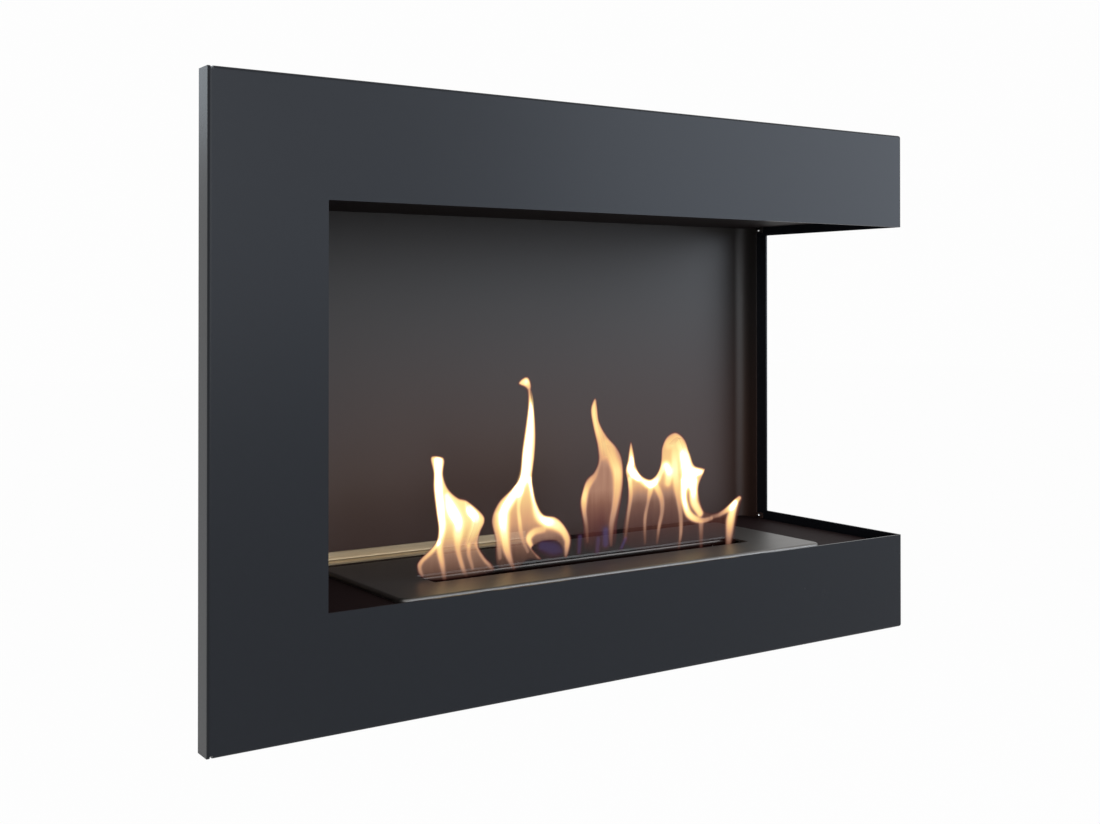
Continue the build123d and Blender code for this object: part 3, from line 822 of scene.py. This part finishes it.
def flame_fire():
    """Glowing gas: dark red where it is thin, then tan, yellow and white, with blue at its feet."""
    shader = Shader("flame_fire")
    heat, cover, cool = [
        shader.add("ShaderNodeAttribute", attribute_name=label).outputs["Fac"]
        for label in fire_fields
    ]
    stretched = shader.add("ShaderNodeVectorMath", operation="MULTIPLY")
    stretched.inputs[1].default_value = flicker_stretch
    shader.join(shader.coordinates(), stretched.inputs[0])
    waves = shader.noise(stretched.outputs[0], scale=1.0, detail=2.0)
    wander = shader.maths("MULTIPLY", shader.maths("SUBTRACT", waves.outputs["Fac"], 0.5), flicker)
    thin = shader.maths("SUBTRACT", 1.0, heat, clamp=True)
    warmth = shader.maths("ADD", heat, shader.maths("MULTIPLY", wander, thin), clamp=True)

    glow = shader.add("ShaderNodeValToRGB")
    ramp = glow.color_ramp
    ramp.elements[0].color, ramp.elements[1].color = fire_colours[0][1], fire_colours[-1][1]
    for place, colour in fire_colours[1:-1]:
        ramp.elements.new(place).color = colour
    shader.join(warmth, glow.inputs["Fac"])
    tint = shader.add("ShaderNodeMix", data_type="RGBA")
    tint.inputs["B"].default_value = feet_blue
    shader.join(shader.maths("MULTIPLY", cool, thin, clamp=True), tint.inputs["Factor"])
    shader.join(glow.outputs["Color"], tint.inputs["A"])
    surface = shader.surface.inputs
    shader.join(tint.outputs["Result"], surface["Emission Color"])
    blue_cover = shader.maths("MULTIPLY", cool, cool_cover)
    shader.join(shader.maths("MAXIMUM", cover, blue_cover), surface["Alpha"])
    surface["Emission Strength"].default_value = fire_strength
    surface["Base Color"].default_value = (0, 0, 0, 1)
    surface["Specular IOR Level"].default_value = 0.0
    surface["Roughness"].default_value = 1.0
    return shader.material


fire = flame_fire()
for name, flame in flames.items():
    piece = make_flame(name, flame)
    piece.data.materials.append(fire)
    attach(piece, "burner")
    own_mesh(piece)


# ---------------------------------------------------------------- stage
def white_to_the_eye(shader, surface, share):
    """Mixes plain white light into a surface, for the camera, for gloss and for glass only."""
    white = shader.add("ShaderNodeEmission")
    mix = shader.add("ShaderNodeMixShader")
    shader.join(shader.maths("MULTIPLY", shader.studio_rays(), share), mix.inputs["Fac"])
    shader.join(surface, mix.inputs[1])
    shader.join(white.outputs[0], mix.inputs[2])
    return mix.outputs[0]


def make_floor():
    """A wide pale floor below the fireplace, which keeps its soft shadow."""
    half = floor_size / 2
    corners = [(-half, -half), (half, -half), (half, half), (-half, half)]
    mesh = bpy.data.meshes.new("floor")
    mesh.from_pydata([(x, y, -floor_drop) for x, y in corners], [], [(0, 1, 2, 3)])
    floor = bpy.data.objects.new("floor", mesh)
    collection.objects.link(floor)
    shader = Shader("pale_floor")
    shader.surface.inputs["Base Color"].default_value = (0.85, 0.85, 0.85, 1)
    shader.surface.inputs["Roughness"].default_value = 0.8
    lit = white_to_the_eye(shader, shader.surface.outputs[0], floor_share_white)
    shader.join(lit, shader.tree.nodes["Material Output"].inputs["Surface"])
    mesh.materials.append(shader.material)


def make_world():
    """A studio of even light that shows as almost white behind the object."""
    world = bpy.data.worlds.new("studio")
    bpy.context.scene.world = world
    world.use_nodes = True
    sky = NodeTree(world.node_tree)
    light = sky.tree.nodes["Background"]
    light.inputs["Color"].default_value = (1, 1, 1, 1)
    strength = sky.add("ShaderNodeMapRange")
    strength.inputs["To Min"].default_value = ambient
    strength.inputs["To Max"].default_value = backdrop_white
    sky.join(sky.studio_rays(), strength.inputs["Value"])
    sky.join(strength.outputs[0], light.inputs["Strength"])


def aim(thing, place, direction):
    """Puts a lamp or a camera at its place, looking along a direction."""
    thing.location = place
    thing.rotation_euler = direction.to_track_quat("-Z", "Y").to_euler()
    collection.objects.link(thing)


def softbox(name, place, target, size, power, colour):
    """A soft rectangular light at a place, turned to its target. Its power is in watts."""
    light = bpy.data.lights.new(name, "AREA")
    light.shape = "RECTANGLE"
    light.size, light.size_y = size
    light.energy = power
    light.color = colour
    lamp = bpy.data.objects.new(name, light)
    lamp.visible_camera = False
    aim(lamp, place, Vector(target) - Vector(place))


def make_camera():
    """The camera at the photograph's place, with its frame shifted to the photograph's centre."""
    data = bpy.data.cameras.new("camera")
    data.sensor_width = sensor_width
    data.lens = focal_pixels / picture_width * sensor_width
    data.shift_x = (picture_width / 2 - centre_column) / picture_width
    data.shift_y = (centre_row - picture_height / 2) / picture_width
    data.clip_start = 0.01
    camera = bpy.data.objects.new("camera", data)
    aim(camera, eye, sight)
    bpy.context.scene.camera = camera


make_floor()
make_world()

# Each lamp's name, place, target, width and height, power and colour.
softbox("front_card", (2.0, -3.1, 1.05), (0.1, -0.1, 0.3), (4.5, 2.2), 50.0, (0.80, 0.88, 1.0))
softbox("right_softbox", (1.55, -1.3, 0.70), (0.1, -0.1, 0.3), (1.4, 1.15), 14.5, (0.76, 0.86, 1.0))
softbox("back_softbox", (-1.1, 2.0, 1.13), (-0.3, 0.0, 0.3), (1.2, 1.0), 6.0, (0.75, 0.88, 1.0))
softbox("left_softbox", (-0.75, -2.55, 0.60), (0.25, 0.0, 0.25), (2.6, 1.2), 28.0, (0.90, 0.95, 1.0))
make_camera()
bpy.context.scene.view_settings.view_transform = "Standard"
